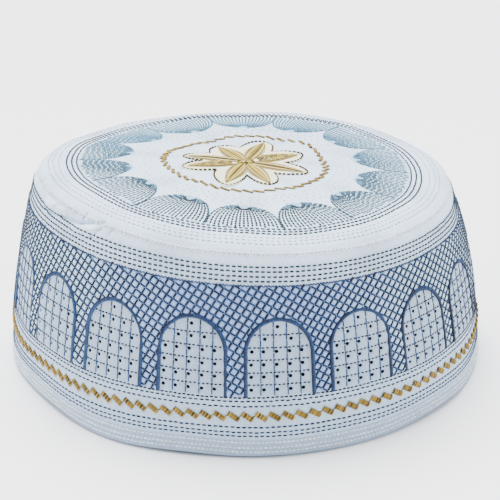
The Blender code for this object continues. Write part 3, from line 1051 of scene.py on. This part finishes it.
# Shades of a satin cord: its middle and ends, how much darker its left and top are painted as painted shade
# and sheen of a light from the right, and its threads' spread
SATIN_SHADE = 0.24
SATIN_END = 0.2
SATIN_LEFT_PAINTED_SHADE = 0.5
SATIN_TOP_PAINTED_SHADE = 0.12
SATIN_SPREAD = 0.16


def satin_tones_and_painted_sheen(turn):
    """Shade of each point of a cord: each leg is painted darker on its left and lighter on its right, and
    the top darker on its outer edge, a painted shade and sheen of light from the right; its threads differ
    a little.
    """
    sides = np.arange(SATIN_SIDES) * math.tau / SATIN_SIDES
    turn = turn[1:-1, None]
    # Painted shade and sheen across the cord
    painted_shade_and_sheen = (SATIN_LEFT_PAINTED_SHADE * np.cos(turn) + SATIN_TOP_PAINTED_SHADE * np.sin(turn)) * np.cos(sides)
    threads = rng.normal(0, SATIN_SPREAD, turn.shape)
    return np.concatenate([[SATIN_END], (SATIN_SHADE - painted_shade_and_sheen + threads).ravel(), [SATIN_END]])


def satin_arches():
    """Satin cord round each window: its cross threads show as ribs."""
    foot = ARCH_FOOT - ARCH_TUCK
    leg = ARCH_SPRING - foot
    bend = math.pi * ARCH_HALF_WIDTH
    length = np.arange(0, 2 * leg + bend, SATIN_THREAD / 2)
    turn = np.clip((length - leg) / ARCH_HALF_WIDTH, 0, math.pi)
    across = -ARCH_HALF_WIDTH * np.cos(turn)
    past = np.maximum(length - leg - bend, 0)
    height = np.minimum(foot + length, ARCH_SPRING) + ARCH_HALF_WIDTH * np.sin(turn) - past
    run = run_at_height(height)
    sizes = np.where(np.arange(len(length)) % 2, 1.0, 0.80)
    sizes[[0, -1]] = 0
    for index in range(ARCHES):
        angle = ARCH_FIRST + ARCH_PITCH * index + across / WRAP_RADIUS
        places = stacked(angle, run, np.full_like(run, SATIN_LIFT))[None]
        cord = tubes(places, SATIN_WIDTH / 2, SATIN_HALF_HEIGHT, sizes, SATIN_SIDES, np.array([0.5]))
        cord = cord._replace(shades=satin_tones_and_painted_sheen(turn))
        node = f"satin_arch_{index + 1:02d}"
        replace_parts(mesh_piece(f"{node}_thread", cord, "satin"), node)


# Threads of a gold bar, as shares of its width and rise, and the core under them, painted dark as the shade
# between the threads
BAR_REACH = np.array([-0.56, -0.40, 0.0, 0.40, 0.56])
BAR_SHOULDER = 0.62
BAR_SINK = 0.12 * MM
BAR_THREAD = 0.47
BAR_THREAD_HEIGHT = 0.24 * MM
CORE_WIDTH = 0.40
CORE_HEIGHT = 0.6
CORE_RISE = 0.25
CORE_PAINTED_SHADE = -0.6


def gold_bars(bar, middles):
    """Slanted bars of threads wound over a core. middles are (angle, run) of their middles."""
    radius = radius_at(middles[:, 1])[:, None, None]
    steps = (np.arange(bar.threads) - (bar.threads - 1) / 2) * bar.length / bar.threads
    down = np.array([math.cos(bar.slant), math.sin(bar.slant)])
    over = np.array([-math.sin(bar.slant), math.cos(bar.slant)])
    reach = BAR_REACH * bar.width
    shoulder = bar.rise * BAR_SHOULDER
    lifts = np.array([-BAR_SINK, shoulder, bar.rise, shoulder, -BAR_SINK])
    across = steps[:, None] * down[0] + reach * over[0]
    up = steps[:, None] * down[1] + reach * over[1]
    angle = middles[:, 0, None, None] + across / radius
    run = middles[:, 1, None, None] + up
    lift = np.broadcast_to(lifts, angle.shape) + creases(angle, run)
    places = stacked(angle, run, lift).reshape(-1, len(reach), 3)
    shades = np.tile(np.arange(bar.threads) % 2 * 0.4, len(middles)) + rng.uniform(0, 0.6, len(places))
    half_width = bar.length / bar.threads * BAR_THREAD
    threads = tubes(places, half_width, BAR_THREAD_HEIGHT, (0, 0.9, 1, 0.9, 0), shades=shades)
    # The core, painted dark as the shade that shows between the threads
    spread = np.linspace(-0.5, 0.5, 6) * bar.length
    core_angle = middles[:, 0, None] + spread * down[0] / radius[:, :, 0]
    core_run = middles[:, 1, None] + spread * down[1]
    core_lift = np.full_like(core_run, bar.rise * CORE_RISE) + creases(core_angle, core_run)
    core = tubes(
        stacked(core_angle, core_run, core_lift),
        bar.width * CORE_WIDTH, bar.rise * CORE_HEIGHT, (0, 0.9, 1, 1, 0.9, 0), 6,
        np.full(len(middles), CORE_PAINTED_SHADE),
    )
    return [threads, core]


def gold_twist():
    """Line of slanted gold bars round the foot of the band, linked corner to corner."""
    step = math.tau / TWIST_COUNT
    angle = (np.arange(TWIST_COUNT) + TWIST_START) * step
    middles = stacked(angle, np.full(TWIST_COUNT, TWIST_RUN))
    parts = gold_bars(TWIST_BAR, middles)
    marks = stacked(
        angle[:, None] + LINK_ACROSS / radius_at(TWIST_RUN),
        np.broadcast_to(TWIST_RUN + LINK_UP, (TWIST_COUNT, len(LINK_UP))),
    )
    parts.append(sewn(marks, thickness=0.36 * MM))
    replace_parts(mesh_piece("gold_twist_thread", joined(parts), "gold"), "gold_twist_band")


def ring_radius(angle):
    return RING_RADIUS + sum(bend.size * hump(angle, bend) for bend in RING_BENDS)


def gold_ring():
    step = math.tau / RING_COUNT
    angle = (np.arange(RING_COUNT) + RING_START) * step
    middles = stacked(angle, run_at_radius(ring_radius(angle)))
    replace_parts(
        mesh_piece("gold_ring_thread", joined(gold_bars(RING_BAR, middles)), "gold"),
        "gold_ring",
    )


def petal_line(petal, across, share):
    """Angle and run along a petal from the knot to its tip, at most across off its middle line."""
    turn = math.radians(petal.angle)
    along = (petal.length - PETAL_INSET) * np.array([math.sin(turn), math.cos(turn)]) - FLOWER_MIDDLE
    side = np.array([along[1], -along[0]]) / np.linalg.norm(along)
    bow = across * np.sin(math.pi * share ** PETAL_FULLNESS)
    flat = FLOWER_MIDDLE + share[:, None] * along + bow[:, None] * side
    return np.arctan2(flat[:, 0], flat[:, 1]), run_at_radius(np.hypot(flat[:, 0], flat[:, 1]))


def flower_outline():
    """Angle and radius of places round the flower, valley to tip to valley."""
    angles, radii = [], []
    for index, petal in enumerate(PETALS):
        tip = math.radians(petal.angle)
        before = math.remainder(tip - math.radians(PETALS[index - 1].angle), math.tau) / 2
        after = math.remainder(math.radians(PETALS[(index + 1) % len(PETALS)].angle) - tip, math.tau) / 2
        for side in np.linspace(-1, 1, 16, endpoint=False):
            angles.append(tip + side * (before if side < 0 else after))
            radii.append(petal.length - (petal.length - PETAL_VALLEY) * abs(side) ** PETAL_ROUND)
    return np.array(angles), np.array(radii)


PAD_LEVELS = ((1.03, -0.2 * MM), (1.02, 0.12 * MM), (0.95, 0.26 * MM), (0.6, 0.36 * MM), (0.25, 0.45 * MM))


def flower_pad(angle, radius):
    """Low pad of cream thread that carries the petals."""
    rows = [cap_surface(angle, run_at_radius(radius * share), lift) for share, lift in PAD_LEVELS]
    count = len(angle)
    ring = np.arange(count)
    faces = [strip_faces(ring + (row + 1) * count, ring + row * count) for row in range(len(rows) - 1)]
    ends = np.array([cap_surface(0.0, MIDDLE_RUN, -0.2 * MM), cap_surface(0.0, MIDDLE_RUN, 0.5 * MM)])
    top = ring + (len(rows) - 1) * count
    last = len(rows) * count
    faces.append(stacked(np.roll(ring, -1), ring, np.full(count, last)))
    faces.append(stacked(top, np.roll(top, -1), np.full(count, last + 1)))
    points = np.concatenate(rows + [ends])
    return Shape(points, np.concatenate(faces), np.full(len(points), 0.5))


STRAND_MARKS = np.linspace(0.04, 1, 12)
STRAND_SIZES = (0,) + (1,) * 10 + (0,)
STRAND_HALF_HEIGHT = 0.22 * MM
Strand = namedtuple("Strand", "lift half_width shade", defaults=(None,))
FILL_STRAND = Strand(lift=0.55 * MM, half_width=0.24 * MM)
EDGE_STRAND = Strand(lift=0.62 * MM, half_width=0.24 * MM, shade=0.2)
OUTER_STRAND = Strand(lift=0.48 * MM, half_width=0.20 * MM, shade=0.1)
SIDE_VEIN = Strand(lift=0.62 * MM, half_width=0.22 * MM)
SIDE_VEIN_REACH = 1.15 * MM
TOP_VEIN = Strand(lift=0.92 * MM, half_width=0.20 * MM)
TOP_VEIN_REACH = 0.12 * MM
MIDDLE_LIFT = 0.80
MIDDLE_LIFT_FALL = 0.14
PETAL_ROW_LIFTS = np.array([0.25, 0.62, 0.62, 0.25]) * MM


def strand(petal, across, lift, half_width, shade=None):
    """One long thread of a petal."""
    angle, run = petal_line(petal, across, STRAND_MARKS)
    rise = lift * np.sin(math.pi * np.linspace(0.12, 0.94, len(STRAND_MARKS))) ** 0.5
    shades = None if shade is None else np.array([shade])
    places = stacked(angle, run, rise)[None]
    return tubes(places, half_width, STRAND_HALF_HEIGHT, STRAND_SIZES, shades=shades)


def petal_rows(petal, across, start):
    """A row of short stitches up a petal."""
    angle, run = petal_line(petal, across, np.linspace(start, 0.94, 20))
    marks = stitch_line(angle, run, 2.0 * MM, 0.86)
    lifts = np.broadcast_to(PETAL_ROW_LIFTS, marks.shape[:2])
    return tubes(np.dstack([marks, lifts]), 0.27 * MM, STRAND_HALF_HEIGHT, STITCH_SIZES)


# Knot in the middle of the flower: lengths in mm
KNOT_LOOPS = 34
KNOT_REACHES = (2.2, 4.6)
KNOT_BEND = 0.5
KNOT_LIFTS = np.array([0.3, 0.75, 0.95, 0.75, 0.3])
KNOT_HALF_WIDTH = 0.42
KNOT_HALF_HEIGHT = 0.36


def knot_loops():
    """Loops of gold thread over the middle of the flower."""
    loops = []
    for _ in range(KNOT_LOOPS):
        heading = rng.uniform(0, math.tau)
        reach = rng.uniform(*KNOT_REACHES) * MM
        bend = rng.normal(0, KNOT_BEND, 5) * MM
        along = np.linspace(-1, 1, 5) * reach
        across = FLOWER_MIDDLE[0] + along * math.cos(heading) - bend * math.sin(heading)
        front = FLOWER_MIDDLE[1] + along * math.sin(heading) + bend * math.cos(heading)
        lift = KNOT_LIFTS * MM + rng.uniform(0, 0.25) * MM
        run = run_at_radius(np.hypot(across, front))
        places = stacked(np.arctan2(across, front), run, lift)[None]
        loops.append(tubes(places, KNOT_HALF_WIDTH * MM, KNOT_HALF_HEIGHT * MM, (0, 1, 1, 1, 0), 6))
    return loops


def flower():
    """Raised medallion: a cream pad, petals of long threads, a dashed brown outline and a knot."""
    angle, radius = flower_outline()
    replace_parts(mesh_piece("flower_pad", flower_pad(angle, radius), "ivory"), "flower")
    golds, browns, fills = knot_loops(), [], []
    for petal in PETALS:
        middle = MIDDLE_STRANDS[petal.middle]
        for number, across in enumerate(np.linspace(-middle.reach, middle.reach, middle.count)):
            if petal.middle == "rows":
                golds.append(petal_rows(petal, across, 0.22 + 0.04 * (number % 2)))
                continue
            lift = (MIDDLE_LIFT - MIDDLE_LIFT_FALL * abs(across) / MM) * MM
            part = strand(petal, across, lift, middle.half_width)
            (browns if petal.middle == "vein" else golds).append(part)
        for across in PETAL_FILL if petal.middle != "rows" else PETAL_FILL[2:]:
            fills += [strand(petal, side * across, *FILL_STRAND) for side in (-1, 1)]
        if petal.middle == "gold":
            browns += [strand(petal, side * SIDE_VEIN_REACH, *SIDE_VEIN) for side in (-1, 1)]
            browns.append(strand(petal, TOP_VEIN_REACH, *TOP_VEIN))
        golds += [strand(petal, side * PETAL_EDGE, *EDGE_STRAND) for side in (-1, 1)]
        fills += [strand(petal, side * PETAL_OUTER, *OUTER_STRAND) for side in (-1, 1)]
    closed_angle = np.concatenate([angle, angle[:1] + math.tau])
    closed_run = run_at_radius(np.concatenate([radius, radius[:1]]) - 0.3 * MM)
    outline = stitch_line(closed_angle, closed_run, pitch=1.75 * MM, share=0.82)
    browns.append(sewn(outline, thickness=0.80 * MM, rise=0.35 * MM))
    mesh_piece("flower_petals", joined(golds), "yellow")
    mesh_piece("flower_fill", joined(fills), "cream")
    mesh_piece("flower_veins", joined(browns), "brown")


# Materials

def new_paint(name, roughness, sheen, metallic=0.0):
    paint = bpy.data.materials.new(name)
    paint.use_nodes = True
    shader = paint.node_tree.nodes["Principled BSDF"]
    shader.inputs["Roughness"].default_value = roughness
    shader.inputs["Metallic"].default_value = metallic
    shader.inputs["Sheen Weight"].default_value = sheen
    shader.inputs["Sheen Roughness"].default_value = 0.4
    shader.inputs["Specular IOR Level"].default_value = 0.3
    return paint, paint.node_tree, shader


def add(tree, kind, inputs=None, **settings):
    """Adds a node. Each of its inputs is a value, or an output of another node to link."""
    node = tree.nodes.new(kind)
    for name, value in settings.items():
        setattr(node, name, value)
    for name, value in (inputs or {}).items():
        if isinstance(value, bpy.types.NodeSocket):
            tree.links.new(value, node.inputs[name])
        else:
            node.inputs[name].default_value = value
    return node


def add_bump(tree, height, strength, distance, under=None):
    """Bump from a height. under is a bump that lies below it."""
    bump = add(tree, "ShaderNodeBump", {"Height": height, "Strength": strength, "Distance": distance})
    if under:
        tree.links.new(under, bump.inputs["Normal"])
    return bump.outputs["Normal"]


def fine_noise(tree, scale):
    place = add(tree, "ShaderNodeTexCoord").outputs["Object"]
    noise = add(tree, "ShaderNodeTexNoise", {"Vector": place, "Scale": scale, "Detail": 3.0})
    return noise.outputs["Fac"]


def add_math(tree, operation, *values):
    node = add(tree, "ShaderNodeMath", dict(enumerate(values)), operation=operation)
    return node.outputs["Value"]


WEAVE = 0.45 * MM


def cotton_paint():
    """Cotton in the colours of its points, with a plain weave."""
    paint, tree, shader = new_paint("quilted_cotton", roughness=0.85, sheen=0.15)
    noise = fine_noise(tree, 700.0)
    shades = add(tree, "ShaderNodeMapRange", {"Value": noise, "To Min": 0.84, "To Max": 1.10})
    # Cloth colours of the points, with their painted shade and painted light
    dye_and_painted_shade = add(tree, "ShaderNodeAttribute", attribute_name="dye_and_painted_shade").outputs["Color"]
    dyed_and_shaded = add(tree, "ShaderNodeVectorMath", {0: dye_and_painted_shade, "Scale": shades.outputs["Result"]}, operation="SCALE")
    weave = add(tree, "ShaderNodeUVMap", uv_map="weave").outputs["UV"]
    split = add(tree, "ShaderNodeSeparateXYZ", {"Vector": weave})
    waves = [
        add_math(tree, "SINE", add_math(tree, "MULTIPLY", split.outputs[axis], math.tau / WEAVE))
        for axis in ("X", "Y")
    ]
    fibres = add_bump(tree, noise, 0.5, 0.0005)
    normal = add_bump(tree, add_math(tree, "MULTIPLY", *waves), 0.5, 0.0001, fibres)
    tree.links.new(dyed_and_shaded.outputs["Vector"], shader.inputs["Base Color"])
    tree.links.new(normal, shader.inputs["Normal"])
    return paint


def thread_paint(name, dark, light, roughness=0.6, sheen=0.0, metallic=0.0):
    """Thread whose colour goes from dark to light with the shade of each strand."""
    paint, tree, shader = new_paint(name, roughness, sheen, metallic)
    shade = add(tree, "ShaderNodeAttribute", attribute_name="shade").outputs["Fac"]
    ramp = add(tree, "ShaderNodeValToRGB", {"Fac": shade})
    ramp.color_ramp.elements[0].color = (*dark, 1)
    ramp.color_ramp.elements[1].color = (*light, 1)
    tree.links.new(ramp.outputs["Color"], shader.inputs["Base Color"])
    tree.links.new(add_bump(tree, fine_noise(tree, 2500.0), 0.35, 0.0001), shader.inputs["Normal"])
    return paint


paints = {
    "cotton": cotton_paint(),
    "white": thread_paint("white_thread", (0.62, 0.69, 0.78), (0.92, 0.96, 1.0), 0.5, 0.2),
    "grey": thread_paint("grey_thread", (0.22, 0.28, 0.38), (0.48, 0.56, 0.68), 0.5, 0.1),
    "blue": thread_paint("blue_thread", (0.002, 0.014, 0.055), (0.014, 0.058, 0.180)),
    "indigo": thread_paint("indigo_thread", (0.001, 0.008, 0.030), (0.007, 0.034, 0.105)),
    "navy": thread_paint("navy_thread", (0.0005, 0.003, 0.012), (0.004, 0.016, 0.050)),
    "teal": thread_paint("teal_thread", (0.001, 0.009, 0.016), (0.008, 0.036, 0.056)),
    "fan": thread_paint("fan_thread", (0.0002, 0.002, 0.003), (0.065, 0.185, 0.29)),
    "sky": thread_paint("sky_thread", (0.006, 0.032, 0.060), (0.11, 0.27, 0.37)),
    "satin": thread_paint("blue_satin_thread", (0.0003, 0.003, 0.022), (0.016, 0.084, 0.25), 0.5),
    "gold": thread_paint("gold_metal_thread", (0.020, 0.009, 0.001), (0.50, 0.32, 0.040), 0.42, 0.0, 0.15),
    "yellow": thread_paint("yellow_thread", (0.070, 0.042, 0.002), (0.62, 0.46, 0.060), 0.45),
    "brown": thread_paint("brown_thread", (0.012, 0.006, 0.0005), (0.085, 0.046, 0.004), 0.75),
    "cream": thread_paint("cream_thread", (0.28, 0.20, 0.045), (0.84, 0.70, 0.28), 0.55, 0.1),
    "ivory": thread_paint("ivory_thread", (0.60, 0.60, 0.44), (0.86, 0.84, 0.62), 0.6, 0.1),
}

# Camera: the photograph's view
VIEW_RISE = math.radians(22.994)
VIEW_DISTANCE = 656.376 * MM
VIEW_ROLL = math.radians(-0.249)
VIEW_AIM = Vector((SHIFT_X, SHIFT_Y, 40.0 * MM))
LENS = 115.66
VIEW_SHIFT = (0.0125, 0.0126)


def photo_camera():
    camera = bpy.data.cameras.new("camera")
    camera.sensor_fit = "HORIZONTAL"
    camera.sensor_width = 36.0
    camera.lens = LENS
    camera.shift_x, camera.shift_y = VIEW_SHIFT
    camera.clip_start = 0.01
    obj = new_object("camera", camera)
    back = Vector((0, -math.cos(VIEW_RISE), math.sin(VIEW_RISE)))
    turn = Matrix.Rotation(math.pi / 2 - VIEW_RISE, 4, "X") @ Matrix.Rotation(VIEW_ROLL, 4, "Z")
    obj.matrix_world = Matrix.Translation(VIEW_AIM + back * VIEW_DISTANCE) @ turn
    bpy.context.scene.camera = obj


# Lights: the sky overhead, and a soft light at each side
SKY_POWER = 11.5
SKY_SPREAD = math.radians(50)
SKY_DIRECTION = Vector((0.12, -0.32, -1.0))
SURROUND_POWER = 0.80
SIDE_LIGHTS = {"left": Vector((-0.9, -0.05, 0.5)), "right": Vector((0.9, -0.15, 0.5))}
SIDE_AIM = Vector((0, 0, 0.04))
SIDE_SIZE = 0.6
SIDE_POWER = 5.0


def facing(direction):
    return direction.to_track_quat("-Z", "Y").to_euler()


def side_light(name, place):
    light = bpy.data.lights.new(name, "AREA")
    light.shape = "DISK"
    light.size = SIDE_SIZE
    light.energy = SIDE_POWER
    light.color = (0.95, 0.98, 1.0)
    obj = new_object(name, light)
    obj.location = place
    obj.rotation_euler = facing(SIDE_AIM - place)


def studio():
    """Pale floor, soft light from above and in front, and a pale surround."""
    bpy.ops.mesh.primitive_grid_add(x_subdivisions=8, y_subdivisions=8, size=8.0)
    floor = bpy.context.object
    floor.name = "floor"
    floor.location.z = -0.0002
    paint, tree, shader = new_paint("pale_floor", roughness=0.9, sheen=0.0)
    shader.inputs["Base Color"].default_value = (0.90, 0.90, 0.91, 1)
    floor.data.materials.append(paint)
    world = bpy.data.worlds.new("pale_surround")
    world.use_nodes = True
    surround = world.node_tree.nodes["Background"]
    surround.inputs["Color"].default_value = (0.93, 0.96, 1.0, 1)
    surround.inputs["Strength"].default_value = SURROUND_POWER
    bpy.context.scene.world = world
    sky = bpy.data.lights.new("overhead", "SUN")
    sky.energy = SKY_POWER
    sky.angle = SKY_SPREAD
    new_object("overhead", sky).rotation_euler = facing(SKY_DIRECTION)
    for name, place in SIDE_LIGHTS.items():
        side_light(name, place)


photo_camera()
side_band_cloth()
crown_cloth()
stitch_rings()
trellis_stitches()
zigzags()
window_grid()
fan_stitches()
satin_arches()
gold_twist()
gold_ring()
flower()
studio()
